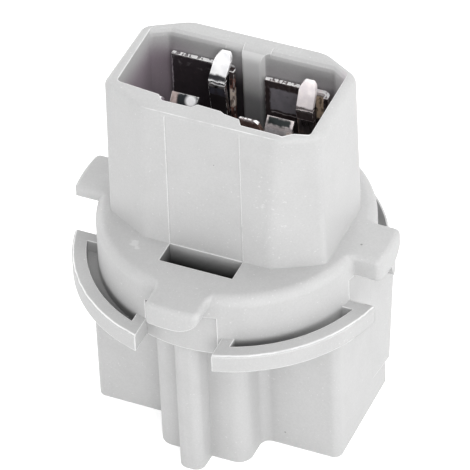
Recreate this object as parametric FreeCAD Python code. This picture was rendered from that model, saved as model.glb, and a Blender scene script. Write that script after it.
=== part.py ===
import FreeCAD, Part
import math
import os

# Car bulb socket for a 16 mm wedge base bulb, millimetres.
# Origin: centre of the four lugs, on the plane of the open end of the connector shroud.
# Z runs up through the bulb tower, the window and the latch pod face -Y.

V = FreeCAD.Vector

# Heights
SHROUD_BOTTOM = 0.0
CAVITY_ROOF = 14.6
BARREL_BOTTOM = 17.65
ARC_BOTTOM = 17.87
CHAMBER_FLOOR = 18.3
ARC_FLOOR = 18.55
ARC_TOP = 19.95
BACK_ARC_TOP = 21.0
LUG_UNDERSIDE = 22.6
DISC_TOP = 25.1
TOWER_TOP = 42.1

# Flange disc, lugs and arcs
DISC_RADIUS = 14.5
DISC_EDGE_ROUND = 1.1
LUG_RADIUS = 17.25
LUG_LOW_SIDE = 2.85
LUG_RAMP_SIDE = 3.0
LUG_RAMP_START = 0.4
LUG_RAMP_ROUND = 3.1
LUG_EDGE_ROUND = 0.55
LUG_CORNER_ROUND = 0.7
LUG_ROOT_ROUND = 1.6
LUG_ROOT_LIP = 0.05
LUG_LENGTH = 4.15
LUG_TAIL = 5.0
UNDER_LUG_HALF = 3.7
UNDER_LUG_DEPTH = 0.25
ARC_OUTER = 17.2
ARC_INNER = 15.68
ARC_FRONT_END = 4.2
ARC_SIDE_END = 3.8
ARC_ROOT = 1.2
ARC_OVERLAP = 1.0
ARC_BEVEL = 0.22
BACK_ARC_INNER = 15.45
BACK_ARC_TIP = 15.65
BACK_ARC_FOOT = 16.3

# Bulb tower
TOWER_HALF_LENGTH = 12.06
TOWER_FRONT = 7.7
TOWER_BACK = 7.6
FRONT_CHAMFER_X = 5.07
FRONT_CHAMFER_Y = 2.67
RIM_CHAMFER_X = 4.0
RIM_CHAMFER_Y = 2.05
BACK_CHAMFER_X = 4.4
BACK_CHAMFER_Y = 2.5
FRONT_END_ROUND = 0.9
FRONT_ROUND = 2.2
BACK_END_ROUND = 1.4
BACK_RIGHT_ROUND = 2.0
BACK_ROUND = 3.6
DRAFT_X = 0.2
DRAFT_FRONT = 0.25
DRAFT_BACK = 0.21
RIM_ROUND = 0.8
ROLL_ROUND = 0.8
ROLL_STEPS = 3
BACK_WALL = 5.15
CHAMBER_HALF = 10.75
CHAMBER_DRAFT = 0.35
PANEL_HALF = 4.02
PANEL_DEPTH = 0.08
RIB_LEFT = -0.85
RIB_FOOT = 2.2
RIB_FRONT = 4.5
RIB_FLANK = 1.0
RIB_ROUND = 0.3
PAD_LEFT = -2.75
PAD_FRONT = 5.05
RIB_BACK = BACK_WALL + ROLL_ROUND

# Window in front of the tower and the shaft below it
WINDOW_HALF = 4.04
WINDOW_FRONT = -10.45
SHAFT_HALF = 3.6
SHAFT_FRONT = -9.75
SHAFT_BACK = -7.9
WINDOW_DEPTH = 6.2

# Connector shroud
SHROUD_LEFT = -14.05
SHROUD_RIGHT = 13.7
SHROUD_FRONT = -6.68
SHROUD_BACK = 7.0
SHROUD_WALL = 1.5
CORNER_ROUND = 0.9
POD_HALF = 5.12
POD_FRONT = -11.05
POD_ROUND = 1.6
POD_ROOT_ROUND = 1.1
POD_WALL = 1.2
GRIP_LEFT = -1.65
GRIP_RIGHT = 1.03
GRIP_TAPER = 0.12
GRIP_ROUND = 1.05
GRIP_FRONT = -13.66
CATCH_HALF = 1.9
CATCH_REACH = 1.1
CATCH_BOTTOM = 5.2
CATCH_HEIGHT = 2.6
KEY_START = 2.5
KEY_BOTTOM = 3.4
KEY_LOW = 0.38
KEY_HIGH = 1.07
KEY_CORNER = 0.5

# Contacts
SHEET = 0.5
BACK_PLATE_Y = 4.7
FRONT_PLATE_Y = -3.35
CONTACT_WIDTH = 7.2
CONTACT_BEND = 0.6
HOOK_REACH = 0.95
SIDE_WEB_TOP = 33.0
FINGER_WIDTH = 1.8
LEAF_BEND = 1.5
LEAF_START = 2.7
LEAF_WIDTH = 2.9
BLADE_WIDTH = 6.3
BLADE_THICK = 0.8
BLADE_TIP = 3.2
BLADE_FIT = 0.05
CUT_PAST = 1.0

# Heights of the contacts above the disc, and where their tips lean
LEFT_CONTACT_X = -8.6
LEFT_PLATE_RISE = 14.4
LEFT_FINGER_X = -2.85
LEFT_FINGER_LEAN = 0.14
LEFT_TIP_Y = 4.55
LEFT_TIP_RISE = 16.35
LEFT_KINK_Y = 2.8
LEFT_KINK_RISE = 13.4
LEFT_LEAF_Y = -1.25
LEFT_LEAF_RISE = 14.5
RIGHT_CONTACT_X = 1.7
RIGHT_PLATE_RISE = 13.9
RIGHT_FINGER_X = 7.05
RIGHT_FINGER_LEAN = 0.0
RIGHT_TIP_Y = 3.6
RIGHT_TIP_RISE = 16.0
RIGHT_KINK_Y = 2.2
RIGHT_KINK_RISE = 13.3
RIGHT_LEAF_Y = -1.0
RIGHT_LEAF_RISE = 14.2


def rounded_wire(points, radii, z):
    """Closed outline at height z; each corner gets its own radius, 0 keeps it sharp."""
    count = len(points)
    corners = []
    for i in range(count):
        here = V(points[i][0], points[i][1], z)
        before = V(points[i - 1][0], points[i - 1][1], z)
        after = V(points[(i + 1) % count][0], points[(i + 1) % count][1], z)
        radius = radii[i] if isinstance(radii, (list, tuple)) else radii
        if radius <= 0:
            corners.append((here, None, here))
            continue
        to_before = (before - here).normalize()
        to_after = (after - here).normalize()
        half = math.acos(max(-1.0, min(1.0, to_before.dot(to_after)))) / 2
        reach = radius / math.tan(half)
        start = here + to_before * reach
        end = here + to_after * reach
        inward = (to_before + to_after).normalize()
        centre = here + inward * (radius / math.sin(half))
        middle = centre - inward * radius
        corners.append((start, middle, end))
    edges = []
    for i in range(count):
        start, middle, end = corners[i]
        if middle is not None:
            edges.append(Part.Arc(start, middle, end).toShape())
        following = corners[(i + 1) % count][0]
        if end.distanceToPoint(following) > 1e-6:
            edges.append(Part.makeLine(end, following))
    return Part.Wire(edges)


def prism(points, radii, bottom, top):
    face = Part.Face(rounded_wire(points, radii, bottom))
    return face.extrude(V(0, 0, top - bottom))


def box(x0, x1, y0, y1, z0, z1):
    return Part.makeBox(x1 - x0, y1 - y0, z1 - z0, V(x0, y0, z0))


def ring(inner, outer, bottom, top):
    outside = Part.makeCylinder(outer, top - bottom, V(0, 0, bottom))
    inside = Part.makeCylinder(inner, top - bottom, V(0, 0, bottom))
    return outside.cut(inside)


def side_profile(points, x0, x1):
    """Solid from a closed outline in the YZ plane, extruded from x0 to x1."""
    corners = [V(x0, y, z) for y, z in points]
    face = Part.Face(Part.makePolygon(corners + [corners[0]]))
    return face.extrude(V(x1 - x0, 0, 0))


def offset_line(points, distance):
    """Open polyline moved sideways by distance, with mitred corners."""
    moved = []
    last = len(points) - 1
    for i, (a, b) in enumerate(points):
        normals = []
        for j in (i - 1, i):
            if 0 <= j < last:
                da = points[j + 1][0] - points[j][0]
                db = points[j + 1][1] - points[j][1]
                size = math.hypot(da, db)
                normals.append((-db / size, da / size))
        if len(normals) == 1:
            na, nb = normals[0]
            scale = distance
        else:
            na = normals[0][0] + normals[1][0]
            nb = normals[0][1] + normals[1][1]
            size = math.hypot(na, nb)
            na, nb = na / size, nb / size
            scale = distance / (na * normals[0][0] + nb * normals[0][1])
        moved.append((a + na * scale, b + nb * scale))
    return moved


def strip_outline(points, thick, bend):
    """Outline of a bent strip and the radius of each of its corners."""
    left = offset_line(points, thick / 2)
    right = offset_line(points, -thick / 2)
    left_radii = [0]
    right_radii = [0]
    for i in range(1, len(points) - 1):
        before = (points[i][0] - points[i - 1][0], points[i][1] - points[i - 1][1])
        after = (points[i + 1][0] - points[i][0], points[i + 1][1] - points[i][1])
        turn = before[0] * after[1] - before[1] * after[0]
        inner = max(bend - thick / 2, 0.05)
        outer = inner + thick
        left_radii.append(inner if turn > 0 else outer)
        right_radii.append(outer if turn > 0 else inner)
    left_radii.append(0)
    right_radii.append(0)
    return left + right[::-1], left_radii + right_radii[::-1]


def strip_in_plan(points, thick, bend, bottom, top):
    outline, radii = strip_outline(points, thick, bend)
    return prism(outline, radii, bottom, top)


def strip_in_side(points, thick, bend, x0, x1):
    """Bent strip drawn in the YZ plane and as wide as x0 to x1."""
    outline, radii = strip_outline(points, thick, bend)
    solid = prism(outline, radii, 0, x1 - x0)
    # plan X becomes Y, plan Y becomes Z, the extrusion becomes X
    turn = FreeCAD.Matrix(0, 0, 1, x0, 1, 0, 0, 0, 0, 1, 0, 0, 0, 0, 0, 1)
    return solid.transformGeometry(turn)


def tower_outline(inset_x, inset_front, inset_back, right_chamfer):
    a = TOWER_HALF_LENGTH - inset_x
    front = TOWER_FRONT - inset_front
    back = TOWER_BACK - inset_back
    return [
        (-a, -front + FRONT_CHAMFER_Y),
        (-a + FRONT_CHAMFER_X, -front),
        (a - right_chamfer[0], -front),
        (a, -front + right_chamfer[1]),
        (a, back - BACK_CHAMFER_Y),
        (a - BACK_CHAMFER_X, back),
        (-a + BACK_CHAMFER_X, back),
        (-a, back - BACK_CHAMFER_Y),
    ]


def make_tower():
    radii = [
        FRONT_END_ROUND, FRONT_ROUND, FRONT_ROUND, FRONT_END_ROUND,
        BACK_RIGHT_ROUND, BACK_ROUND, BACK_ROUND, BACK_END_ROUND,
    ]
    foot = tower_outline(0, 0, 0, (FRONT_CHAMFER_X, FRONT_CHAMFER_Y))
    top = tower_outline(DRAFT_X, DRAFT_FRONT, DRAFT_BACK, (RIM_CHAMFER_X, RIM_CHAMFER_Y))
    cap_foot = TOWER_TOP - RIM_ROUND * 1.1
    low = rounded_wire(foot, radii, DISC_TOP)
    high = rounded_wire(top, radii, cap_foot)
    cap = prism(top, radii, cap_foot, TOWER_TOP)
    rim = [e for e in cap.Edges if e.BoundBox.ZMin > TOWER_TOP - 0.01]
    tower = Part.makeLoft([low, high], True, True).fuse(cap.makeFillet(RIM_ROUND, rim))
    # shallow panel left by the insert that forms the window
    lean = DRAFT_FRONT / (TOWER_TOP - DISC_TOP)
    face = -TOWER_FRONT + PANEL_DEPTH
    depth_at_top = face + lean * (TOWER_TOP + 1 - DISC_TOP)
    outline = [(-9, DISC_TOP), (face, DISC_TOP), (depth_at_top, TOWER_TOP + 1), (-9, TOWER_TOP + 1)]
    return tower.cut(side_profile(outline, -PANEL_HALF, PANEL_HALF))


def chamber():
    """Inside of the tower; the front wall is stepped, the back wall rolls over at the rim."""
    h = CHAMBER_HALF
    rim = [
        (-h + 0.25, -4.5), (-5.65, -5.0), (-5.0, -5.75), (-1.8, -5.72),
        (-1.4, -5.12), (1.2, -5.28), (1.7, -5.55), (3.4, -5.8),
        (3.9, -6.6), (8.35, -6.65), (9.25, -5.95), (h + 0.15, -5.4),
        (h, 3.95), (8.95, BACK_WALL), (-8.8, BACK_WALL - 0.1), (-h, 4.0),
    ]
    floor = []
    for x, y in rim:
        y_new = y + CHAMBER_DRAFT if y < -6.0 else y
        floor.append((x * (1 - CHAMBER_DRAFT / h), y_new))
    floor[10] = (9.0, -5.5)
    floor[11] = (h - CHAMBER_DRAFT, -4.7)
    floor[13:15] = rim[13:15]
    radii = [0.5, 0.3, 0.3, 0.25, 0.25, 0.2, 0.2, 0.2, 0.25, 0.3, 0.4, 0.4, 0.6, 0.5, 0.5, 0.6]
    roll_start = TOWER_TOP - ROLL_ROUND
    low = rounded_wire(floor, radii, CHAMBER_FLOOR)
    high = rounded_wire(rim, radii, roll_start)
    sections = []
    for step in range(ROLL_STEPS + 1):
        turn = math.pi / 2 * step / ROLL_STEPS
        out = ROLL_ROUND * (1 - math.cos(turn))
        outline = rim[:12] + [(x, y + out) for x, y in rim[12:]]
        sections.append(rounded_wire(outline, radii, roll_start + ROLL_ROUND * math.sin(turn)))
    walls = Part.makeLoft([low, high], True, True)
    roll = Part.makeLoft(sections, True, True)
    above = prism(outline, radii, TOWER_TOP, TOWER_TOP + 1)
    return walls.fuse(roll).fuse(above)


def rolled_block(front, x0, x1):
    """Block on the back wall whose top rolls over into the rim."""
    rise = TOWER_TOP - (RIB_BACK - front)
    slant = (RIB_BACK - front) * math.sqrt(0.5)
    foot = V(x0, RIB_BACK, CHAMBER_FLOOR)
    front_foot = V(x0, front, CHAMBER_FLOOR)
    front_top = V(x0, front, rise)
    middle = V(x0, RIB_BACK - slant, rise + slant)
    top = V(x0, RIB_BACK, TOWER_TOP)
    edges = [
        Part.makeLine(foot, front_foot), Part.makeLine(front_foot, front_top),
        Part.Arc(front_top, middle, top).toShape(), Part.makeLine(top, foot),
    ]
    return Part.Face(Part.Wire(edges)).extrude(V(x1 - x0, 0, 0))


def back_rib():
    """Rib on the back wall between the contacts, with the pad beside it."""
    centre_y = BACK_WALL - RIB_FLANK
    turn = math.asin((RIB_FRONT - centre_y) / RIB_FLANK)
    halfway = (turn + math.pi / 2) / 2
    z = CHAMBER_FLOOR - 1
    back_left = V(RIB_LEFT, RIB_BACK + 1, z)
    left = V(RIB_LEFT, RIB_FRONT, z)
    right = V(RIB_FOOT - RIB_FLANK * math.cos(turn), RIB_FRONT, z)
    middle = V(RIB_FOOT - RIB_FLANK * math.cos(halfway), centre_y + RIB_FLANK * math.sin(halfway), z)
    foot = V(RIB_FOOT, BACK_WALL, z)
    back_right = V(RIB_FOOT, RIB_BACK + 1, z)
    edges = [
        Part.makeLine(back_left, left), Part.makeLine(left, right),
        Part.Arc(right, middle, foot).toShape(), Part.makeLine(foot, back_right),
        Part.makeLine(back_right, back_left),
    ]
    plan = Part.Face(Part.Wire(edges)).extrude(V(0, 0, TOWER_TOP + 1 - z))
    front_edges = [
        e for e in plan.Edges
        if e.BoundBox.ZLength > 5 and e.BoundBox.YMax < RIB_FRONT + 0.01
    ]
    plan = plan.makeFillet(RIB_ROUND, front_edges)
    rib = rolled_block(RIB_FRONT, RIB_LEFT, RIB_FOOT).common(plan)
    pad = rolled_block(PAD_FRONT, PAD_LEFT, RIB_LEFT + 0.1)
    return rib.fuse(pad)


def make_lug():
    """One bayonet lug on +X, ramped below at its anticlockwise end."""
    top = DISC_TOP
    root_x = LUG_RADIUS - LUG_LENGTH
    inner_x = root_x - LUG_TAIL
    outer_x = LUG_RADIUS + CUT_PAST
    sector = Part.makeCylinder(LUG_RADIUS, top - LUG_UNDERSIDE, V(0, 0, LUG_UNDERSIDE))
    low_end = -LUG_LOW_SIDE - LUG_ROOT_ROUND - LUG_ROOT_LIP
    ramp_end = LUG_RAMP_SIDE + LUG_ROOT_ROUND + LUG_ROOT_LIP
    keep = prism(
        [(inner_x, low_end), (root_x, low_end), (root_x, -LUG_LOW_SIDE), (outer_x, -LUG_LOW_SIDE),
         (outer_x, LUG_RAMP_SIDE), (root_x, LUG_RAMP_SIDE), (root_x, ramp_end), (inner_x, ramp_end)],
        [0, 0, LUG_ROOT_ROUND, 0, 0, LUG_ROOT_ROUND, 0, 0], LUG_UNDERSIDE, top)
    lug = sector.common(keep)
    corners = [
        e for e in lug.Edges
        if e.BoundBox.ZLength > LUG_EDGE_ROUND and e.BoundBox.XMin > LUG_RADIUS - LUG_LENGTH / 4
    ]
    lug = lug.makeFillet(LUG_CORNER_ROUND, corners)
    top_edges = [
        e for e in lug.Edges
        if e.BoundBox.ZMin > top - 0.01 and e.BoundBox.XMax > root_x + LUG_ROOT_LIP
    ]
    lug = lug.makeFillet(LUG_EDGE_ROUND, top_edges)
    reach = outer_x - inner_x
    round_z = LUG_UNDERSIDE + LUG_RAMP_ROUND
    round_part = Part.makeCylinder(LUG_RAMP_ROUND, reach, V(inner_x, LUG_RAMP_START, round_z), V(1, 0, 0))
    ramp_side = LUG_RAMP_START + LUG_RAMP_ROUND + CUT_PAST
    below = box(inner_x, outer_x, LUG_RAMP_START, ramp_side,
                LUG_UNDERSIDE - CUT_PAST, LUG_UNDERSIDE + LUG_RAMP_ROUND * 0.8)
    return lug.cut(below.cut(round_part))


def quarter_turns(shape, count=4):
    turned = []
    for i in range(count):
        copy = shape.copy()
        copy.rotate(V(0, 0, 0), V(0, 0, 1), 90 * i)
        turned.append(copy)
    return turned


def front_arc(side):
    """Grooved guard arc of a front quadrant; side is -1 or 1 along X."""
    def quadrant(x_end, y_end):
        x0, x1 = sorted((side * x_end, side * 20))
        return box(x0, x1, -20, -y_end, BARREL_BOTTOM - 1, ARC_TOP + 1)
    inner = DISC_RADIUS - ARC_OVERLAP
    outline = [
        V(inner, 0, ARC_BOTTOM), V(ARC_OUTER, 0, ARC_BOTTOM),
        V(ARC_OUTER, 0, ARC_TOP - ARC_BEVEL), V(ARC_OUTER - ARC_BEVEL, 0, ARC_TOP),
        V(inner, 0, ARC_TOP),
    ]
    face = Part.Face(Part.makePolygon(outline + [outline[0]]))
    band = face.revolve(V(0, 0, 0), V(0, 0, 1), 360)
    band = band.common(quadrant(ARC_FRONT_END, ARC_SIDE_END))
    slot = ring(DISC_RADIUS, ARC_INNER, ARC_FLOOR, ARC_TOP + 1)
    slot = slot.common(quadrant(ARC_FRONT_END + ARC_ROOT, ARC_SIDE_END + ARC_ROOT))
    return band.cut(slot)


def back_arc(side):
    """Slimmer tapered arc of a back quadrant, slotted behind."""
    def quadrant(x_end, y_end):
        x0, x1 = sorted((side * x_end, side * 20))
        return box(x0, x1, y_end, 20, BARREL_BOTTOM - 1, BACK_ARC_TOP + 1)
    outline = [
        V(DISC_RADIUS - 0.4, 0, BARREL_BOTTOM), V(BACK_ARC_FOOT, 0, BARREL_BOTTOM),
        V(BACK_ARC_TIP, 0, BACK_ARC_TOP), V(DISC_RADIUS - 0.4, 0, BACK_ARC_TOP),
    ]
    face = Part.Face(Part.makePolygon(outline + [outline[0]]))
    band = face.revolve(V(0, 0, 0), V(0, 0, 1), 360)
    band = band.common(quadrant(ARC_FRONT_END, ARC_SIDE_END))
    slot = ring(DISC_RADIUS, BACK_ARC_INNER, BARREL_BOTTOM - 1, BACK_ARC_TOP + 1)
    slot = slot.common(quadrant(ARC_FRONT_END + ARC_ROOT, ARC_SIDE_END + ARC_ROOT))
    return band.cut(slot)


def make_barrel():
    barrel = Part.makeCylinder(DISC_RADIUS, DISC_TOP - BARREL_BOTTOM, V(0, 0, BARREL_BOTTOM))
    top_edges = [
        e for e in barrel.Edges
        if e.BoundBox.ZMin > DISC_TOP - 0.01 and e.BoundBox.XLength > 10
    ]
    barrel = barrel.makeFillet(DISC_EDGE_ROUND, top_edges)
    # recess under the front and back lugs, flat under the side lugs
    recess = ring(DISC_RADIUS - UNDER_LUG_DEPTH, DISC_RADIUS + 3, BARREL_BOTTOM - 1, LUG_UNDERSIDE)
    front = box(-ARC_FRONT_END, UNDER_LUG_HALF, -20, -5, BARREL_BOTTOM - 1, LUG_UNDERSIDE)
    back = box(-UNDER_LUG_HALF, UNDER_LUG_HALF, 5, 20, BARREL_BOTTOM - 1, LUG_UNDERSIDE)
    barrel = barrel.cut(recess.common(front)).cut(recess.common(back))
    for x0, x1 in ((-20, SHROUD_LEFT), (SHROUD_RIGHT, 20)):
        flat = box(x0, x1, -ARC_SIDE_END, ARC_SIDE_END, BARREL_BOTTOM - 1, LUG_UNDERSIDE)
        barrel = barrel.cut(flat)
    return barrel


def barrel_pockets():
    """Cored pockets below the disc, open downwards."""
    inside = Part.makeCylinder(DISC_RADIUS - 1.5, 5.3, V(0, 0, BARREL_BOTTOM - 0.1))
    cuts = []
    for x0, x1, y0, y1 in (
        (-12.0, -0.6, 8.9, 14.0), (0.6, 12.0, 8.9, 14.0),
        (-12.0, -6.1, -14.0, -8.1), (6.1, 12.0, -14.0, -8.1),
    ):
        cuts.append(inside.common(box(x0, x1, y0, y1, BARREL_BOTTOM - 1, DISC_TOP - 2)))
    return cuts


def make_shroud():
    block = prism(
        [(SHROUD_LEFT, SHROUD_FRONT), (SHROUD_RIGHT, SHROUD_FRONT),
         (SHROUD_RIGHT, SHROUD_BACK), (SHROUD_LEFT, SHROUD_BACK)],
        CORNER_ROUND, SHROUD_BOTTOM, BARREL_BOTTOM)
    # the pod with its concave roots and rounded front corners
    wide = POD_HALF + POD_ROOT_ROUND + 0.1
    inner = SHROUD_FRONT + SHROUD_WALL
    pod = prism(
        [(-wide, inner), (-wide, SHROUD_FRONT), (-POD_HALF, SHROUD_FRONT), (-POD_HALF, POD_FRONT),
         (POD_HALF, POD_FRONT), (POD_HALF, SHROUD_FRONT), (wide, SHROUD_FRONT), (wide, inner)],
        [0, 0, POD_ROOT_ROUND, POD_ROUND, POD_ROUND, POD_ROOT_ROUND, 0, 0],
        SHROUD_BOTTOM, BARREL_BOTTOM)
    grip = prism(
        [(GRIP_LEFT - GRIP_TAPER, POD_FRONT + 0.8), (GRIP_LEFT, GRIP_FRONT),
         (GRIP_RIGHT, GRIP_FRONT), (GRIP_RIGHT + GRIP_TAPER, POD_FRONT + 0.8)],
        [0, GRIP_ROUND, GRIP_ROUND, 0], SHROUD_BOTTOM, BARREL_BOTTOM)
    return block.fuse(pod).fuse(grip).fuse(make_key())


def make_key():
    """Tapered key on the right end, flush at the front and proud at the back corner."""
    x = SHROUD_RIGHT
    wires = []
    for proud, z in ((KEY_LOW, KEY_BOTTOM), (KEY_HIGH, BARREL_BOTTOM)):
        corners = [
            V(x - KEY_CORNER, KEY_START, z), V(x, KEY_START, z),
            V(x + proud, SHROUD_BACK - KEY_CORNER, z), V(x + proud - KEY_CORNER, SHROUD_BACK, z),
            V(x - 2 * KEY_CORNER, SHROUD_BACK, z),
        ]
        wires.append(Part.makePolygon(corners + [corners[0]]))
    return Part.makeLoft(wires, True, True)


def connector_cavity():
    x0 = SHROUD_LEFT + SHROUD_WALL
    x1 = SHROUD_RIGHT - SHROUD_WALL
    y0 = SHROUD_FRONT + SHROUD_WALL
    y1 = SHROUD_BACK - SHROUD_WALL
    cavity = prism([(x0, y0), (x1, y0), (x1, y1), (x0, y1)], 0.6, SHROUD_BOTTOM - 1, CAVITY_ROOF)
    pod = prism(
        [(-POD_HALF + POD_WALL, y0 + 1), (-POD_HALF + POD_WALL, POD_FRONT + POD_WALL),
         (POD_HALF - POD_WALL, POD_FRONT + POD_WALL), (POD_HALF - POD_WALL, y0 + 1)],
        [0, 0.5, 0.5, 0], SHROUD_BOTTOM - 1, CAVITY_ROOF)
    return cavity.fuse(pod)


def latch_catch():
    inner = POD_FRONT + POD_WALL
    return side_profile(
        [(inner - 0.4, CATCH_BOTTOM), (inner, CATCH_BOTTOM),
         (inner + CATCH_REACH, CATCH_BOTTOM + CATCH_HEIGHT * 0.7),
         (inner + CATCH_REACH, CATCH_BOTTOM + CATCH_HEIGHT),
         (inner - 0.4, CATCH_BOTTOM + CATCH_HEIGHT)], -CATCH_HALF, CATCH_HALF)


def window_shaft():
    wide = box(-WINDOW_HALF, WINDOW_HALF, WINDOW_FRONT, -TOWER_FRONT,
               DISC_TOP - WINDOW_DEPTH, DISC_TOP + 0.5)
    narrow = box(-SHAFT_HALF, SHAFT_HALF, SHAFT_FRONT, SHAFT_BACK,
                 CAVITY_ROOF - CUT_PAST, DISC_TOP - WINDOW_DEPTH + CUT_PAST)
    return wide.fuse(narrow)


def blade_slot(centre_x):
    half = BLADE_WIDTH / 2 + BLADE_FIT
    thick = BLADE_THICK / 2 + BLADE_FIT
    return box(centre_x - half, centre_x + half, -thick, thick,
               CAVITY_ROOF - CUT_PAST, CHAMBER_FLOOR + CUT_PAST)


def make_housing(blade_centres):
    body = make_barrel().fuse(make_tower()).fuse(make_shroud())
    for lug in quarter_turns(make_lug()):
        body = body.fuse(lug)
    for side in (-1, 1):
        body = body.fuse(front_arc(side))
        body = body.fuse(back_arc(side))
    body = body.cut(chamber())
    body = body.fuse(back_rib())
    for pocket in barrel_pockets():
        body = body.cut(pocket)
    body = body.cut(connector_cavity())
    body = body.fuse(latch_catch())
    body = body.cut(window_shaft())
    for centre in blade_centres:
        body = body.cut(blade_slot(centre))
    return body.removeSplitter()


def lean_over(solid, level, rate):
    """Solid whose part above the level leans along X by rate per millimetre of height."""
    reach = 50.0
    low = solid.common(box(-reach, reach, -reach, reach, 0, level))
    high = solid.common(box(-reach, reach, -reach, reach, level, reach))
    lean = FreeCAD.Matrix(1, 0, rate, -rate * level, 0, 1, 0, 0, 0, 0, 1, 0, 0, 0, 0, 1)
    return low.fuse(high.transformGeometry(lean))


def make_contact(left_x, top, finger_x, tip, kink, lean, leaf_top):
    """Stamped contact; left_x is its left edge, tip and kink are (y, height) points."""
    right_x = left_x + CONTACT_WIDTH
    web_x = right_x - SHEET / 2
    floor = CHAMBER_FLOOR
    base = box(left_x + 0.3, right_x, FRONT_PLATE_Y - SHEET / 2, BACK_PLATE_Y + SHEET / 2,
               floor, floor + SHEET)
    wrap = strip_in_plan(
        [(left_x, BACK_PLATE_Y), (web_x, BACK_PLATE_Y), (web_x, FRONT_PLATE_Y),
         (left_x + 0.6, FRONT_PLATE_Y)], SHEET, CONTACT_BEND, floor, SIDE_WEB_TOP)
    back = strip_in_plan(
        [(left_x, BACK_PLATE_Y), (web_x, BACK_PLATE_Y), (web_x, BACK_PLATE_Y - HOOK_REACH)],
        SHEET, CONTACT_BEND, SIDE_WEB_TOP - 1, top)
    # back finger: rises from the base, kinks towards the bulb, flares back at the tip
    x0 = finger_x - FINGER_WIDTH / 2
    x1 = finger_x + FINGER_WIDTH / 2
    finger = strip_in_side(
        [(BACK_PLATE_Y - 0.1, floor + 2.0), (BACK_PLATE_Y - 0.9, floor + 5.0),
         (kink[0] + 0.5, kink[1] - 3.6), kink, tip], SHEET, 0.55, x0, x1)
    rounding = FINGER_WIDTH / 2 - 0.05
    corner_cutter = Part.makeCylinder(rounding, 8, V(finger_x, tip[0] + 4, tip[1] - rounding), V(0, -1, 0))
    below = box(x0 - 1, x1 + 1, -8, 8, 0, tip[1] - rounding)
    finger = finger.common(corner_cutter.fuse(below))
    finger = lean_over(finger, kink[1] + SHEET, lean)
    # front leaf: rises from the front plate and leans over towards the bulb
    leaf_x = left_x + LEAF_START
    y, z = leaf_top
    leaf = strip_in_side(
        [(FRONT_PLATE_Y, SIDE_WEB_TOP - 2), (FRONT_PLATE_Y + 0.2, z - 4.2),
         (y - 0.95, z - 1.9), (y - 0.75, z - 0.95), (y, z)], SHEET * 0.8, LEAF_BEND,
        leaf_x, leaf_x + LEAF_WIDTH)
    # wing beside the leaf, its top corner cut down towards the leaf
    wing_x = left_x - 0.1
    wing = strip_in_side(
        [(FRONT_PLATE_Y, SIDE_WEB_TOP - 2), (FRONT_PLATE_Y + 0.3, z - 4.2), (y - 0.75, z - 0.5)],
        SHEET * 0.8, 0.5, wing_x, leaf_x + 0.2)
    corner = Part.Face(Part.makePolygon([
        V(wing_x + 1.4, -8, z - 0.35), V(wing_x + 2.1, -8, z - 0.7), V(leaf_x + 0.1, -8, z - 1.6),
        V(leaf_x + 0.3, -8, z - 1.7), V(leaf_x + 0.3, -8, z + 1), V(wing_x + 1.4, -8, z + 1),
        V(wing_x + 1.4, -8, z - 0.35)])).extrude(V(0, 10, 0))
    wing = wing.cut(corner)
    blade_x = left_x + CONTACT_WIDTH / 2
    blade_low = BLADE_TIP + 1.2
    half = BLADE_WIDTH / 2
    blade = box(blade_x - half, blade_x + half, -BLADE_THICK / 2, BLADE_THICK / 2, blade_low, floor + 0.2)
    nose = Part.Face(Part.makePolygon([
        V(blade_x - half, -BLADE_THICK / 2, blade_low), V(blade_x + half, -BLADE_THICK / 2, blade_low),
        V(blade_x + half - 0.9, -BLADE_THICK / 2, BLADE_TIP),
        V(blade_x - half + 0.9, -BLADE_THICK / 2, BLADE_TIP),
        V(blade_x - half, -BLADE_THICK / 2, blade_low)])).extrude(V(0, BLADE_THICK, 0))
    contact = base
    for piece in (wrap, back, finger, leaf, wing, blade, nose):
        contact = contact.fuse(piece)
    return contact.removeSplitter()


contact_left = make_contact(
    LEFT_CONTACT_X, DISC_TOP + LEFT_PLATE_RISE, LEFT_FINGER_X,
    (LEFT_TIP_Y, DISC_TOP + LEFT_TIP_RISE), (LEFT_KINK_Y, DISC_TOP + LEFT_KINK_RISE),
    LEFT_FINGER_LEAN, (LEFT_LEAF_Y, DISC_TOP + LEFT_LEAF_RISE))
contact_right = make_contact(
    RIGHT_CONTACT_X, DISC_TOP + RIGHT_PLATE_RISE, RIGHT_FINGER_X,
    (RIGHT_TIP_Y, DISC_TOP + RIGHT_TIP_RISE), (RIGHT_KINK_Y, DISC_TOP + RIGHT_KINK_RISE),
    RIGHT_FINGER_LEAN, (RIGHT_LEAF_Y, DISC_TOP + RIGHT_LEAF_RISE))
blade_centres = [x + CONTACT_WIDTH / 2 for x in (LEFT_CONTACT_X, RIGHT_CONTACT_X)]
housing = make_housing(blade_centres)

os.makedirs("parts", exist_ok=True)
for name, shape in (
    ("housing", housing),
    ("contact_left", contact_left),
    ("contact_right", contact_right),
):
    solid = shape.Solids[0] if len(shape.Solids) == 1 else shape
    solid.exportStep("parts/" + name + ".step")
    print(name, len(shape.Solids), shape.isValid(), round(shape.Volume, 1), shape.BoundBox)
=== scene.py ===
import math

import bpy
from mathutils import Matrix, Vector

# Car bulb socket for a wedge base bulb, in the frame of the CAD part. The scene is in
# metres; sizes and places named here are in millimetres where nothing else is said.
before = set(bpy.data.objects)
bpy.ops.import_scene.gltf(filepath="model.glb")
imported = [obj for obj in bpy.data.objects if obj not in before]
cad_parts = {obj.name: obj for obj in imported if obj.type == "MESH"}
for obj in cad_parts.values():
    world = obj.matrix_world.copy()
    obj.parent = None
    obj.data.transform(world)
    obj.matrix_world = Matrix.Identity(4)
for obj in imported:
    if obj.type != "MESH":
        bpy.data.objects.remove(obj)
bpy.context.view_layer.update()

MM = 0.001
DISC_TOP = 25.1

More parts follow.
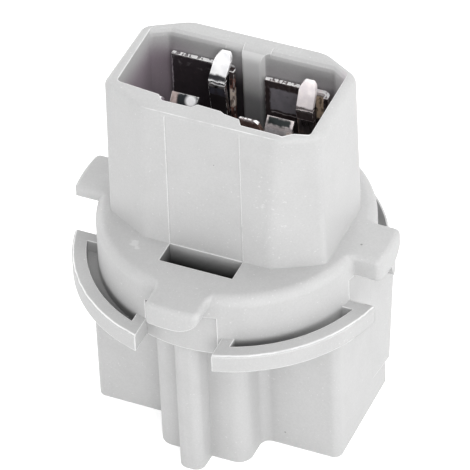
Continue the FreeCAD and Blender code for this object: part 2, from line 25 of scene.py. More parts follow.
# Camera, fitted to the photograph; centre offsets in pixels
IMAGE_SIDE = 470
AZIMUTH = math.radians(24.883)
ELEVATION = math.radians(40.782)
ROLL = math.radians(-2.498)
DISTANCE = 447.2
PIXELS_PER_MM = 9.75
CENTRE_U = 1.253
CENTRE_V = -28.303
SENSOR_WIDTH = 36.0
CLIP_START = 10.0

# Lamps: name, azimuth, elevation, watts; their size and distance in metres
LAMPS = (
    ("left", -110, 20, 1.8),
    ("front_left", -35, 5, 1.74),
    ("front", 30, 5, 2.42),
    ("front_high", 30, 45, 1.21),
    ("right_high", 60, 45, 0.7),
    ("right", 90, 5, 2.5),
    ("back_right", 120, 45, 1.0),
    ("back", 180, 45, 1.55),
    ("top", 25, 88, 0.48),
)
LAMP_SIZE = 0.5
LAMP_DISTANCE = 0.8
WORLD_LEVEL = 0.6

# Floor, its reach from the middle in metres
FLOOR_REACH = 3.0
BACKDROP_COLOUR = (0.8, 0.8, 0.8)
BACKDROP_GLOW = 0.5

# Plastic colours, linear
WHITE = (1.0, 1.0, 1.0)
PLASTIC_COLOUR = (0.47, 0.47, 0.47)
GRAIN_CONTRAST = 0.035
PATCH_SHADE = (0.96, 0.96, 0.96)
SPECK_COLOUR = (0.56, 0.56, 0.56)
DARK_MARK_COLOUR = (0.22, 0.22, 0.22)
# Painted highlight on sharp edges
EDGE_HIGHLIGHT_COLOUR = (0.8, 0.8, 0.8)
# Painted highlight along the flash line and the guard arcs
LINE_HIGHLIGHT_COLOUR = (0.7, 0.7, 0.7)
# Painted light on the inner rib
INNER_RIB_LIT_COLOUR = (0.56, 0.56, 0.56)

# Painted shade: factors that the plastic's colour is multiplied by
INSIDE_SHADE = (0.80, 0.76, 0.79)
LEFT_SHADE = (0.83, 0.74, 0.81)
RIGHT_SHADE = (1.0, 0.95, 0.98)
BACK_WALL_SHADE = (0.72, 0.72, 0.72)
GAP_SHADE = (0.13, 0.12, 0.13)
DEEP_SHADE = (0.42, 0.42, 0.43)
WINDOW_SHADE = (0.05, 0.05, 0.05)
WINDOW_SIDE_SHADE = (0.42, 0.42, 0.42)
GROOVE_SHADE = (0.4, 0.4, 0.4)

# Metal colours, linear
TIN_COLOUR = (0.95, 0.94, 0.93)
WARM_TIN_COLOUR = (0.86, 0.78, 0.77)
WORN_TIN_SHARE = 0.9
# Painted dark and bronze reflections within the chamber
DARK_REFLECTION_COLOUR = (0.1, 0.085, 0.085)
BRONZE_REFLECTION_COLOUR = (0.22, 0.15, 0.12)
STAIN_COLOUR = (0.06, 0.035, 0.03)
CLOUD_SHADE = (0.86, 0.86, 0.88)

PLASTIC_ROUGHNESS = 0.5
METAL_ROUGHNESS = 0.14

# Tower, with the places of its painted shade and painted light: fades are given as the place
# where they start and the place where they are full
TOWER_TOP = 42.1
CORE_HALF_X = 9.0
CORE_HALF_Y = 5.3
CHAMBER_FLOOR = 18.3
UPPER_FADE_Z = (TOWER_TOP - 0.5, TOWER_TOP - 4.0)
INNER_RIB_X = (-1.0, 2.1)
INNER_RIB_Y = (4.0, 4.95)
INNER_RIB_FADE_Z = (37.6, 39.4)
LEFT_FADE_X = (-5.5, -8.0)
RIGHT_PLAIN_X = (9.0, 10.0)
RIGHT_FADE_X = (9.6, 10.4)
BACK_WALL_FADE_Y = (4.85, 4.98)
BACK_WALL_FADE_Z = (TOWER_TOP, 40.8)
GAP_X = (-3.2, -0.9)
GAP_FADE_Y = (4.7, 4.9)
GAP_FADE_Z = (39.6, 36.6)
DEEP_FADE_X = (-1.2, -0.9)
DEEP_FADE_Z = (37.9, 35.6)

# Painted highlight along the line on the front rim where the mould halves met
FLASH_HEIGHT = 41.87
FLASH_HALF_WIDTH = 0.032
FLASH_X = (-6.4, 7.6)
FLASH_FADE_Y = (-6.6, -6.7)

# Crowded specks on the right of the tower's front
SPECKS_X = (5.3, 8.4)
SPECKS_FADE_Y = (-6.0, -6.5)
SPECKS_Z = (26.5, 37.5)

# Window in the disc, and its painted shade
WINDOW_HALF = 4.15
WINDOW_SIDE = 3.9
WINDOW_Y = (-10.6, -7.62)
WINDOW_FADE_Z = (DISC_TOP + 0.2, DISC_TOP - 2.9)
WINDOW_SIDE_FADE_Z = (DISC_TOP + 0.1, DISC_TOP - 0.3)
WINDOW_END_Z = (DISC_TOP - 7.0, DISC_TOP - 4.0)

# Guard arcs: painted shade in the grooves behind the front ones, and a painted highlight line
# along the arcs' outer top edge
GROOVE_RADII = (14.42, 15.75)
GROOVE_FADE_X = (5.2, 5.35)
GROOVE_FADE_Y = (-5.0, -13.0)
GROOVE_FADE_Z = (19.9, 19.1)
GROOVE_END_Z = (18.0, 18.4)
ARC_LINE_RADII = (16.99, 17.09)
ARC_LINE_Z = (19.69, 20.05)
ARC_LINE_FADE_Y = (-3.0, -3.2)
LEFT_ARC_FADE_X = (0.0, -2.0)

# Painted highlights on sharp outer edges, their reach on plastic and metal; the outer end of the
# right lug stays plain
PLASTIC_EDGE_REACH = 0.14
METAL_EDGE_REACH = 0.06
LUG_END_FADE_X = (15.9, 15.5)

# Bumps, and the softening of the geometry's own edges
PLASTIC_BUMP = 0.02
METAL_BUMP = 0.06
BUMP_STRENGTH = 0.4
PLASTIC_BEVEL = 0.22
METAL_BEVEL = 0.08

# Noise scales, per metre
GRAIN_SCALE = 5000.0
PATCH_SCALE = 300.0
SPECK_SCALE = 3500.0
EDGE_HIGHLIGHT_SCALE = 900.0
ARC_HIGHLIGHT_SCALE = 500.0
FLASH_HIGHLIGHT_SCALE = 700.0
PLASTIC_BUMP_SCALE = 9000.0
STREAK_SCALE = 1500.0
STAIN_SCALE = 2200.0
CLOUD_SCALE = 1300.0
TOOTH_SCALE = 3000.0
METAL_EDGE_HIGHLIGHT_SCALE = 1600.0
METAL_BUMP_SCALE = 900.0

# How outlines are made uneven: noise scale per metre, and reach
ARC_WOBBLE = (1200.0, 0.16)
MARK_WOBBLE = (1500.0, 1.2)
TINT_WOBBLE = (1800.0, 0.4)

# Tints on the contacts, mostly painted reflections, highlights and shade: x, y and z ranges,
# colour, dull share, stained share
LEFT_REFLECTION_TINTS = {
    "plate": ((-8.7, -1.2), (4.3, 5.1), (30.0, 39.44), (0.07, 0.058, 0.065), 0.5, 0.0),
    "plate_side": ((-8.7, -8.5), (4.3, 5.1), (34.0, 39.2), (0.4, 0.36, 0.4), 0.9, 0.3),
    "tab_face": ((-4.2, -1.4), (2.2, 5.1), (39.3, 41.7), WHITE, 0.6, 0.0),
    "tab_band": ((-4.2, -1.4), (2.2, 3.5), (38.84, 39.28), (0.05, 0.05, 0.055), 0.5, 0.0),
    "tab_line": ((-4.2, -1.4), (2.2, 3.5), (38.66, 38.8), WHITE, 1.0, 0.0),
    "tab_lower_line": ((-3.6, -1.4), (2.2, 3.5), (38.34, 38.5), WHITE, 1.0, 0.0),
    "finger": ((-4.2, -1.6), (1.5, 4.2), (36.9, 37.9), (0.1, 0.1, 0.13), 0.6, 0.4),
    "finger_foot": ((-4.2, -1.6), (1.5, 4.2), (30.0, 36.9), (0.035, 0.03, 0.032), 0.75, 0.0),
    "web_dark": ((-2.1, -1.3), (3.6, 4.6), (38.3, 39.7), (0.07, 0.05, 0.05), 0.8, 0.0),
    "hook": ((-2.0, -1.3), (3.5, 4.2), (33.0, 38.6), (0.3, 0.15, 0.12), 0.8, 1.0),
    "hook_shine": ((-1.95, -1.3), (3.5, 4.2), (35.0, 37.3), (1.0, 0.84, 0.72), 0.95, 0.75),
    "leaf": ((-5.5, -2.2), (-4.0, -0.8), (38.0, 39.72), (0.035, 0.04, 0.045), 0.4, 0.0),
    "leaf_root": ((-7.8, -5.9), (-4.0, -0.8), (38.0, 39.9), (0.1, 0.07, 0.09), 0.9, 0.0),
    "leaf_side": ((-6.0, -5.2), (-4.0, -0.8), (38.0, 39.8), (0.62, 0.5, 0.47), 0.8, 0.3),
}
RIGHT_REFLECTION_TINTS = {
    "plate": ((1.6, 9.0), (4.3, 5.1), (30.0, 38.94), (0.07, 0.055, 0.058), 0.6, 0.4),
    "panel": ((2.25, 5.35), (4.3, 5.1), (35.3, 38.1), (0.27, 0.255, 0.28), 0.9, 0.0),
    "panel_foot": ((2.4, 5.6), (4.3, 5.1), (34.95, 35.08), (0.5, 0.46, 0.46), 0.8, 0.3),
    "bronze_glint": ((7.3, 8.9), (4.3, 5.1), (35.6, 38.55), (0.85, 0.66, 0.48), 0.9, 0.7),
    "tab_face": ((5.8, 8.4), (1.5, 5.1), (38.62, 41.7), (1.0, 0.93, 0.93), 0.9, 0.0),
    "tab_line": ((5.8, 8.4), (1.5, 3.5), (38.28, 38.42), (1.0, 0.92, 0.9), 1.0, 0.0),
    "finger": ((5.8, 8.4), (1.0, 4.2), (37.1, 38.1), (0.1, 0.08, 0.08), 0.7, 0.4),
    "finger_line": ((5.8, 8.4), (1.0, 4.2), (36.95, 37.05), (0.4, 0.36, 0.36), 0.9, 0.4),
    "leaf_dark": ((4.5, 7.0), (-4.0, -0.8), (38.75, 39.4), (0.03, 0.036, 0.036), 0.3, 0.0),
    "leaf_low": ((4.3, 7.4), (-4.0, -0.8), (36.0, 38.5), (0.42, 0.4, 0.4), 0.9, 0.2),
    "leaf_warm": ((6.75, 7.4), (-4.0, -0.8), (36.0, 38.45), (0.75, 0.64, 0.58), 0.9, 0.2),
    "wing": ((1.5, 4.3), (-4.0, -0.8), (36.0, 38.72), (0.12, 0.075, 0.06), 0.5, 0.7),
}
TINT_SOFT = 0.14
TINT_SOFT_SHARE = 0.2

# Heights of the two plates
LEFT_PLATE_TOP = 39.5
RIGHT_PLATE_TOP = 39.0

# On the left contact only: dark part of the web's top, where the painted top-edge highlight is
# left out, and the leaf's painted shine (centre, radius)
WEB_TOP_X = (-2.2, -1.5)
WEB_TOP_Y = (3.86, 4.8)
LEAF_SHINE = ((-3.72, -1.75, 39.28), 0.78)

# Small marks on the plastic: centre and radius
LIGHT_MARKS = (
    ((-7.5, -9.0, 25.1), 0.62),
    ((-7.0, -9.4, 25.1), 0.4),
)
DARK_MARKS = (
    ((14.2, -0.87, 25.1), 0.16),
    ((1.17, -7.5, 36.8), 0.11),
    ((8.6, -6.9, 38.3), 0.08),
    ((7.6, -6.68, 1.8), 0.13),
)


def new_material(name):
    material = bpy.data.materials.new(name)
    material.use_nodes = True
    material.node_tree.nodes.clear()
    return material


def add_node(material, kind, **values):
    node = material.node_tree.nodes.new(kind)
    for key, value in values.items():
        setattr(node, key, value)
    return node


def link(material, source, target):
    material.node_tree.links.new(source, target)


def finish_material(material, shader):
    out = add_node(material, "ShaderNodeOutputMaterial")
    link(material, shader, out.inputs["Surface"])
    return material


def object_place(material):
    return add_node(material, "ShaderNodeTexCoord").outputs["Object"]


def surface_normal(material):
    return add_node(material, "ShaderNodeNewGeometry").outputs["Normal"]


def axes(material, coordinates):
    node = add_node(material, "ShaderNodeSeparateXYZ")
    link(material, coordinates, node.inputs["Vector"])
    return node.outputs["X"], node.outputs["Y"], node.outputs["Z"]


def stretched(material, coordinates, scale):
    """Coordinates multiplied by scale along each axis."""
    node = add_node(material, "ShaderNodeMapping")
    node.inputs["Scale"].default_value = scale
    link(material, coordinates, node.inputs["Vector"])
    return node.outputs["Vector"]


def in_millimetres(material, coordinates):
    return stretched(material, coordinates, (1 / MM, 1 / MM, 1 / MM))


def wobbled(material, coordinates, scale, reach):
    """Coordinates pushed about by up to half the reach, so that patches get uneven edges."""
    texture = add_node(material, "ShaderNodeTexNoise")
    texture.inputs["Scale"].default_value = scale
    link(material, coordinates, texture.inputs["Vector"])
    length = reach * MM
    shift = add_node(material, "ShaderNodeVectorMath", operation="MULTIPLY_ADD")
    link(material, texture.outputs["Color"], shift.inputs[0])
    shift.inputs[1].default_value = (length, length, length)
    shift.inputs[2].default_value = (-length / 2, -length / 2, -length / 2)
    total = add_node(material, "ShaderNodeVectorMath", operation="ADD")
    link(material, coordinates, total.inputs[0])
    link(material, shift.outputs["Vector"], total.inputs[1])
    return total.outputs["Vector"]


def noise(material, coordinates, scale, detail):
    node = add_node(material, "ShaderNodeTexNoise")
    node.inputs["Scale"].default_value = scale
    node.inputs["Detail"].default_value = detail
    link(material, coordinates, node.inputs["Vector"])
    return node.outputs["Fac"]


def calculate(material, operation, *values):
    node = add_node(material, "ShaderNodeMath", operation=operation)
    for slot, value in enumerate(values):
        if isinstance(value, (int, float)):
            node.inputs[slot].default_value = value
        else:
            link(material, value, node.inputs[slot])
    return node.outputs["Value"]


def product(material, values):
    total = values[0]
    for value in values[1:]:
        total = calculate(material, "MULTIPLY", total, value)
    return total


def opposite(material, value):
    return calculate(material, "SUBTRACT", 1.0, value)


def rise(material, value, start, full):
    """0 at start and 1 at full, smooth between; start may be the larger one."""
    node = add_node(material, "ShaderNodeMapRange", interpolation_type="SMOOTHSTEP")
    node.inputs["From Min"].default_value = start
    node.inputs["From Max"].default_value = full
    link(material, value, node.inputs["Value"])
    return node.outputs["Result"]


def between(material, value, low, high, soft):
    """1 from low to high, with soft ends."""
    return product(material, [
        rise(material, value, low - soft, low + soft),
        rise(material, value, high + soft, high - soft),
    ])


def patches(material, coordinates, scale, detail, start, full):
    """Uneven patches where the noise is above start."""
    return rise(material, noise(material, coordinates, scale, detail), start, full)


def spot(material, near, centre, radius):
    """Round spot with a soft rim, on coordinates in millimetres."""
    node = add_node(material, "ShaderNodeVectorMath", operation="DISTANCE")
    link(material, near, node.inputs[0])
    node.inputs[1].default_value = centre
    return rise(material, node.outputs["Value"], radius, radius / 2)


def outer_edge(material, reach, start, full):
    """1 on sharp outer edges and 0 on flat faces and in corners."""
    node = add_node(
        material, "ShaderNodeAmbientOcclusion", samples=8, inside=True, only_local=True)
    node.inputs["Distance"].default_value = reach * MM
    return rise(material, node.outputs["AO"], start, full)


def ramp(material, value, low, high, dark, light):
    """Colour from dark to light while value goes from low to high."""
    node = add_node(material, "ShaderNodeValToRGB")
    node.color_ramp.elements[0].position = low
    node.color_ramp.elements[0].color = (*dark, 1)
    node.color_ramp.elements[1].position = high
    node.color_ramp.elements[1].color = (*light, 1)
    link(material, value, node.inputs["Fac"])
    return node.outputs["Color"]


def towards(material, colour, amount, target, blend="MIX"):
    """Colour moved towards the target colour by amount."""
    node = add_node(material, "ShaderNodeMix", data_type="RGBA", blend_type=blend)
    link(material, amount, node.inputs[0])
    link(material, colour, node.inputs[6])
    node.inputs[7].default_value = (*target, 1)
    return node.outputs[2]


def shaded(material, colour, amount, shade):
    """Colour multiplied by the shade, by amount."""
    return towards(material, colour, amount, shade, "MULTIPLY")


def mixed_value(material, before, amount, target):
    """A number moved towards the target by amount; with nothing before, it starts at 0."""
    node = add_node(material, "ShaderNodeMix", data_type="FLOAT")
    link(material, amount, node.inputs[0])
    if before is not None:
        link(material, before, node.inputs[2])
    node.inputs[3].default_value = target
    return node.outputs[0]


def bumped_normal(material, height, distance, bevel):
    """Normal with small bumps, and with the geometry's edges rounded by the bevel."""
    edges = add_node(material, "ShaderNodeBevel", samples=6)
    edges.inputs["Radius"].default_value = bevel * MM
    node = add_node(material, "ShaderNodeBump")
    node.inputs["Distance"].default_value = distance * MM
    node.inputs["Strength"].default_value = BUMP_STRENGTH
    link(material, height, node.inputs["Height"])
    link(material, edges.outputs["Normal"], node.inputs["Normal"])
    return node.outputs["Normal"]


def speckled(material, place, x, y, z):
    """Fine grain, wide faint patches and light specks, crowded on the tower's front right."""
    grain = noise(material, place, GRAIN_SCALE, 2.0)
    dark = tuple(c * (1 - GRAIN_CONTRAST) for c in PLASTIC_COLOUR)
    light = tuple(c * (1 + GRAIN_CONTRAST) for c in PLASTIC_COLOUR)
    colour = ramp(material, grain, 0.3, 0.7, dark, light)
    wide = patches(material, place, PATCH_SCALE, 3.0, 0.35, 0.75)
    colour = shaded(material, colour, wide, PATCH_SHADE)
    fine_spots = noise(material, place, SPECK_SCALE, 1.0)
    colour = towards(material, colour, rise(material, fine_spots, 0.7, 0.78), SPECK_COLOUR)
    crowded = product(material, [
        rise(material, fine_spots, 0.63, 0.74),
        between(material, x, *SPECKS_X, soft=0.9),
        rise(material, y, *SPECKS_FADE_Y),
        between(material, z, *SPECKS_Z, soft=2.0),
    ])
    return towards(material, colour, crowded, SPECK_COLOUR)


def tower_inside(material, x, y, z, facing):
    """1 on the tower's inner faces: they look at the axis or lie within the core."""
    outward = calculate(
        material, "ADD", product(material, [facing[0], x]), product(material, [facing[1], y]))
    core = product(material, [
        between(material, x, -CORE_HALF_X, CORE_HALF_X, soft=0.1),
        between(material, y, -CORE_HALF_Y, CORE_HALF_Y, soft=0.1),
    ])
    return product(material, [
        calculate(material, "MAXIMUM", rise(material, outward, 0.0, -0.5), core),
        rise(material, z, DISC_TOP, DISC_TOP + 0.5),
    ])


def shade_inside(material, colour, x, y, z, facing):
    """Painted shade: the tower's inside goes grey and a little purple with depth; the inner rib
    gets painted light.
    """
    inside = tower_inside(material, x, y, z, facing)
    upper = product(material, [inside, rise(material, z, *UPPER_FADE_Z)])
    rib = product(material, [
        between(material, x, *INNER_RIB_X, soft=0.15),
        between(material, y, *INNER_RIB_Y, soft=0.05),
    ])
    plain = calculate(material, "MAXIMUM", rib, rise(material, x, *RIGHT_PLAIN_X))
    grey = product(material, [upper, opposite(material, plain)])
    colour = shaded(material, colour, grey, INSIDE_SHADE)
    left = product(material, [upper, rise(material, x, *LEFT_FADE_X)])
    colour = shaded(material, colour, left, LEFT_SHADE)
    right = product(material, [inside, rise(material, x, *RIGHT_FADE_X)])
    colour = shaded(material, colour, right, RIGHT_SHADE)
    back_wall = product(material, [
        inside,
        rise(material, y, *BACK_WALL_FADE_Y),
        rise(material, facing[1], -0.7, -0.9),
        rise(material, z, *BACK_WALL_FADE_Z),
    ])
    colour = shaded(material, colour, back_wall, BACK_WALL_SHADE)
    gap = product(material, [
        inside,
        between(material, x, *GAP_X, soft=0.15),
        rise(material, y, *GAP_FADE_Y),
        rise(material, z, *GAP_FADE_Z),
    ])
    colour = shaded(material, colour, gap, GAP_SHADE)
    deep = product(material, [
        inside,
        rise(material, x, *DEEP_FADE_X),
        rise(material, z, *DEEP_FADE_Z),
    ])
    colour = shaded(material, colour, deep, DEEP_SHADE)
    # Painted light: the inner rib is lightened towards a paler colour
    lit_rib = product(material, [inside, rib, rise(material, z, *INNER_RIB_FADE_Z)])
    return towards(material, colour, lit_rib, INNER_RIB_LIT_COLOUR)


def shade_window(material, colour, x, y, z, facing):
    """Painted shade: the window darkens quickly below the disc; deeper down the pod is plain
    again.
    """
    depth = product(material, [
        between(material, y, *WINDOW_Y, soft=0.02),
        rise(material, z, *WINDOW_END_Z),
    ])
    window = product(material, [
        depth,
        between(material, x, -WINDOW_HALF, WINDOW_HALF, soft=0.02),
        rise(material, z, *WINDOW_FADE_Z),
    ])
    colour = shaded(material, colour, window, WINDOW_SHADE)
    left_side = product(material, [
        depth,
        between(material, x, -WINDOW_HALF, -WINDOW_SIDE, soft=0.02),
        rise(material, facing[0], 0.5, 0.9),
        rise(material, z, *WINDOW_SIDE_FADE_Z),
    ])
    return shaded(material, colour, left_side, WINDOW_SIDE_SHADE)


def radius_from_axis(material, x, y):
    squares = calculate(
        material, "ADD", product(material, [x, x]), product(material, [y, y]))
    return calculate(material, "SQRT", squares)


def shade_groove(material, colour, x, y, z):
    """Painted shade: the grooves behind the guard arcs are darker towards the front."""
    groove = product(material, [
        between(material, radius_from_axis(material, x, y), *GROOVE_RADII, soft=0.02),
        rise(material, calculate(material, "ABSOLUTE", x), *GROOVE_FADE_X),
        rise(material, y, *GROOVE_FADE_Y),
        rise(material, z, *GROOVE_FADE_Z),
        rise(material, z, *GROOVE_END_Z),
    ])
    return shaded(material, colour, groove, GROOVE_SHADE)


def paint_edge_highlights(material, colour, place, x):
    """Thin painted highlights on the sharp outer edges."""
    edge_highlight = product(material, [
        outer_edge(material, PLASTIC_EDGE_REACH, 0.95, 0.65),
        patches(material, place, EDGE_HIGHLIGHT_SCALE, 2.0, 0.1, 0.5),
        rise(material, x, *LUG_END_FADE_X),
    ])
    return towards(material, colour, edge_highlight, EDGE_HIGHLIGHT_COLOUR)


def paint_arc_highlights(material, colour, place, x, y, z):
    """Uneven painted highlight line along the outer top edge of the front guard arcs, brighter on
    the left.
    """
    uneven = in_millimetres(material, wobbled(material, place, *ARC_WOBBLE))
    near_x, near_y, _ = axes(material, uneven)
    line = product(material, [
        between(material, radius_from_axis(material, near_x, near_y), *ARC_LINE_RADII, soft=0.03),
        between(material, z, *ARC_LINE_Z, soft=0.02),
        rise(material, y, *ARC_LINE_FADE_Y),
        patches(material, place, ARC_HIGHLIGHT_SCALE, 2.0, 0.1, 0.6),
    ])
    colour = towards(material, colour, line, LINE_HIGHLIGHT_COLOUR)
    left_line = product(material, [line, rise(material, x, *LEFT_ARC_FADE_X)])
    return towards(material, colour, left_line, EDGE_HIGHLIGHT_COLOUR)


def paint_flash_highlight(material, colour, place, x, y, z):
    """Thin painted highlight along the line that the mould left on the front rim."""
    low = FLASH_HEIGHT - FLASH_HALF_WIDTH
    high = FLASH_HEIGHT + FLASH_HALF_WIDTH
    flash = product(material, [
        between(material, z, low, high, soft=0.01),
        rise(material, y, *FLASH_FADE_Y),
        between(material, x, *FLASH_X, soft=0.6),
        patches(material, place, FLASH_HIGHLIGHT_SCALE, 2.0, 0.15, 0.65),
    ])
    return towards(material, colour, flash, LINE_HIGHLIGHT_COLOUR)


def add_marks(material, colour, place, near):
    uneven = in_millimetres(material, wobbled(material, place, *MARK_WOBBLE))
    for centre, radius in LIGHT_MARKS:
        light = spot(material, uneven, centre, radius)
        colour = towards(material, colour, light, SPECK_COLOUR)
    for centre, radius in DARK_MARKS:
        dark = spot(material, near, centre, radius)
        colour = towards(material, colour, dark, DARK_MARK_COLOUR)
    return colour


def plastic_material():
    material = new_material("moulded_plastic")
    place = object_place(material)
    near = in_millimetres(material, place)
    x, y, z = axes(material, near)
    facing = axes(material, surface_normal(material))
    colour = speckled(material, place, x, y, z)
    colour = shade_inside(material, colour, x, y, z, facing)
    colour = shade_window(material, colour, x, y, z, facing)
    colour = shade_groove(material, colour, x, y, z)
    colour = paint_edge_highlights(material, colour, place, x)
    colour = paint_arc_highlights(material, colour, place, x, y, z)
    colour = paint_flash_highlight(material, colour, place, x, y, z)
    colour = add_marks(material, colour, place, near)
    shader = add_node(material, "ShaderNodeBsdfPrincipled")
    shader.inputs["Roughness"].default_value = PLASTIC_ROUGHNESS
    link(material, colour, shader.inputs["Base Color"])
    fine = noise(material, place, PLASTIC_BUMP_SCALE, 2.0)
    normal = bumped_normal(material, fine, PLASTIC_BUMP, PLASTIC_BEVEL)
    link(material, normal, shader.inputs["Normal"])
    return finish_material(material, shader.outputs["BSDF"])


def tin_with_chamber_reflections(material, place, z, tin, plate_top):
    """Streaky tin above, with painted dark and bronze reflections within the chamber; returns the
    colour and the dullness.
    """
    streaks = noise(material, stretched(material, place, (1.0, 1.0, 0.25)), STREAK_SCALE, 3.0)
    worn_tin = tuple(c * WORN_TIN_SHARE for c in tin)
    colour = ramp(material, streaks, 0.35, 0.65, worn_tin, tin)
    deep = product(material, [
        rise(material, z, plate_top - 1.1, plate_top - 1.6),
        rise(material, z, CHAMBER_FLOOR - 1.0, CHAMBER_FLOOR + 1.0),
    ])
    bronze = product(material, [deep, rise(material, streaks, 0.52, 0.68)])
    colour = towards(material, colour, deep, DARK_REFLECTION_COLOUR)
    colour = towards(material, colour, bronze, BRONZE_REFLECTION_COLOUR)
    dull = product(material, [deep, rise(material, streaks, 0.2, 0.6)])
    return colour, dull


def tinted_with_reflections(material, place, colour, dull, tints):
    """Tints, mostly painted reflections and highlights, with uneven edges over their ranges, with
    the stains that some of them carry.
    """
    stained = None
    near = axes(material, in_millimetres(material, wobbled(material, place, *TINT_WOBBLE)))
    for *ranges, tint, dull_share, stained_share in tints.values():
        area = product(material, [
            between(material, along, low, high, min(TINT_SOFT, TINT_SOFT_SHARE * (high - low)))
            for along, (low, high) in zip(near, ranges)
        ])
        colour = towards(material, colour, area, tint)
        dull = mixed_value(material, dull, area, dull_share)
        stained = mixed_value(material, stained, area, stained_share)
    flat = stretched(material, place, (1.0, 1.0, 0.45))
    stains = product(material, [stained, patches(material, flat, STAIN_SCALE, 4.0, 0.46, 0.56)])
    return towards(material, colour, stains, STAIN_COLOUR), dull


def lit_top_edges(material, place, x, y, z, plate_top):
    """Painted highlight on up-facing top edges, uneven like teeth; the left web's top is bright
    on its rim only.
    """
    up = axes(material, surface_normal(material))[2]
    along = stretched(material, place, (1.0, 0.4, 1.0))
    web_top = product(material, [
        between(material, x, *WEB_TOP_X, soft=0.03),
        between(material, y, *WEB_TOP_Y, soft=0.03),
    ])
    return product(material, [
        rise(material, up, 0.75, 0.9),
        rise(material, z, plate_top - 0.5, plate_top - 0.4),
        patches(material, along, TOOTH_SCALE, 2.0, 0.6, 0.52),
        opposite(material, web_top),
    ])


def metal_material(name, tin, plate_top, tints, shine=None):
    """Tin plated spring strip, with painted highlights on its top edges, outer edges and blades,
    and painted dark reflections in the chamber.
    """
    material = new_material(name)
    place = object_place(material)
    near = in_millimetres(material, place)
    x, y, z = axes(material, near)
    colour, dull = tin_with_chamber_reflections(material, place, z, tin, plate_top)
    colour, dull = tinted_with_reflections(material, place, colour, dull, tints)
    # Painted shine on the leaf
    if shine is not None:
        bright = spot(material, near, *shine)
        colour = towards(material, colour, bright, WHITE)
        dull = mixed_value(material, dull, bright, 1.0)
    clouds = patches(material, place, CLOUD_SCALE, 4.0, 0.3, 0.7)
    colour = shaded(material, colour, clouds, CLOUD_SHADE)
    top_edge_highlight = lit_top_edges(material, place, x, y, z, plate_top)
    colour = towards(material, colour, top_edge_highlight, WHITE)
    dull = mixed_value(material, dull, top_edge_highlight, 0.9)
    # Painted highlight in the tin's colour on sharp outer edges
    edges = product(material, [
        outer_edge(material, METAL_EDGE_REACH, 0.95, 0.7),
        patches(material, place, METAL_EDGE_HIGHLIGHT_SCALE, 3.0, 0.42, 0.6),
    ])
    colour = towards(material, colour, edges, tin)
    shader = add_node(material, "ShaderNodeBsdfPrincipled")
    link(material, opposite(material, dull), shader.inputs["Metallic"])
    shader.inputs["Roughness"].default_value = METAL_ROUGHNESS
    link(material, colour, shader.inputs["Base Color"])
    waves = noise(material, place, METAL_BUMP_SCALE, 2.0)
    normal = bumped_normal(material, waves, METAL_BUMP, METAL_BEVEL)
    link(material, normal, shader.inputs["Normal"])
    return finish_material(material, shader.outputs["BSDF"])


def seen_directly(material):
    """1 for what the camera and glossy reflections see."""
    rays = add_node(material, "ShaderNodeLightPath")
    return calculate(
        material, "MAXIMUM", rays.outputs["Is Camera Ray"], rays.outputs["Is Glossy Ray"])


def choose(material, factor, first, second):
    node = add_node(material, "ShaderNodeMixShader")
    link(material, factor, node.inputs["Fac"])
    link(material, first, node.inputs[1])
    link(material, second, node.inputs[2])
    return node.outputs["Shader"]


def backdrop_material():
    """Plain pale floor that shows as white and keeps a soft shadow."""
    material = new_material("backdrop")
    diffuse = add_node(material, "ShaderNodeBsdfDiffuse")
    diffuse.inputs["Color"].default_value = (*BACKDROP_COLOUR, 1)
    glow = add_node(material, "ShaderNodeEmission")
    glow.inputs["Strength"].default_value = BACKDROP_GLOW
    both = add_node(material, "ShaderNodeAddShader")
    link(material, diffuse.outputs["BSDF"], both.inputs[0])
    link(material, glow.outputs["Emission"], both.inputs[1])
    seen = seen_directly(material)
    shader = choose(material, seen, diffuse.outputs["BSDF"], both.outputs["Shader"])
    return finish_material(material, shader)


def make_floor():
    mesh = bpy.data.meshes.new("floor")
    signs = [(-1, -1), (1, -1), (1, 1), (-1, 1)]
    corners = [(FLOOR_REACH * sx, FLOOR_REACH * sy, 0) for sx, sy in signs]
    mesh.from_pydata(corners, [], [(0, 1, 2, 3)])
    floor = bpy.data.objects.new("floor", mesh)
    bpy.context.scene.collection.objects.link(floor)
    mesh.materials.append(backdrop_material())


def make_lamp(name, azimuth, elevation, power):
    """Round soft lamp aimed at the object; azimuth 0 is in front and 90 on the right."""
    turn = math.radians(azimuth)
    lift = math.radians(elevation)
    level = math.cos(lift)
    aim = Vector((math.sin(turn) * level, -math.cos(turn) * level, math.sin(lift)))
    data = bpy.data.lights.new(name, "AREA")
    data.shape = "DISK"
    data.size = LAMP_SIZE
    data.energy = power
    lamp = bpy.data.objects.new(name, data)
    bpy.context.scene.collection.objects.link(lamp)
    lamp.location = aim * LAMP_DISTANCE + Vector((0, 0, DISC_TOP * MM))
    lamp.rotation_euler = aim.to_track_quat("Z", "Y").to_euler()


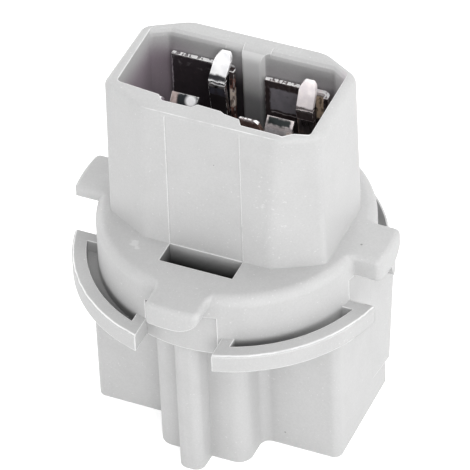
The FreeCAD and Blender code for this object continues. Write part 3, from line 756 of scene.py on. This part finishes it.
def even_light(world, strength):
    node = add_node(world, "ShaderNodeBackground")
    node.inputs["Color"].default_value = (*WHITE, 1)
    node.inputs["Strength"].default_value = strength
    return node.outputs["Background"]


def make_world():
    """Even light, seen as white by the camera and in the metal."""
    world = bpy.data.worlds.new("studio")
    bpy.context.scene.world = world
    world.use_nodes = True
    world.node_tree.nodes.clear()
    soft = even_light(world, WORLD_LEVEL)
    white = even_light(world, 1.0)
    shader = choose(world, seen_directly(world), soft, white)
    out = add_node(world, "ShaderNodeOutputWorld")
    link(world, shader, out.inputs["Surface"])


def make_camera():
    flat = math.cos(ELEVATION)
    back = Vector((math.sin(AZIMUTH) * flat, -math.cos(AZIMUTH) * flat, math.sin(ELEVATION)))
    level = Vector((math.cos(AZIMUTH), math.sin(AZIMUTH), 0))
    over = back.cross(level)
    right = level * math.cos(ROLL) + over * math.sin(ROLL)
    up = over * math.cos(ROLL) - level * math.sin(ROLL)
    side_step = CENTRE_U / PIXELS_PER_MM
    up_step = CENTRE_V / PIXELS_PER_MM
    place = back * DISTANCE - right * side_step + up * up_step + Vector((0, 0, DISC_TOP))
    data = bpy.data.cameras.new("camera")
    data.sensor_width = SENSOR_WIDTH
    data.lens = SENSOR_WIDTH * PIXELS_PER_MM * DISTANCE / IMAGE_SIDE
    data.clip_start = CLIP_START * MM
    camera = bpy.data.objects.new("camera", data)
    bpy.context.scene.collection.objects.link(camera)
    turn = Matrix((right, up, back)).transposed().to_4x4()
    camera.matrix_world = Matrix.Translation(place * MM) @ turn
    bpy.context.scene.camera = camera


def dress(node, material):
    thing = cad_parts[node]
    thing.data.materials.clear()
    thing.data.materials.append(material)


left_tin = metal_material("tin_left", TIN_COLOUR, LEFT_PLATE_TOP, LEFT_REFLECTION_TINTS, LEAF_SHINE)
right_tin = metal_material("tin_right", WARM_TIN_COLOUR, RIGHT_PLATE_TOP, RIGHT_REFLECTION_TINTS)
dress("housing", plastic_material())
dress("contact_left", left_tin)
dress("contact_right", right_tin)

make_world()
make_floor()
make_camera()
for name, azimuth, elevation, power in LAMPS:
    make_lamp(name, azimuth, elevation, power)
bpy.context.scene.view_settings.view_transform = "Standard"
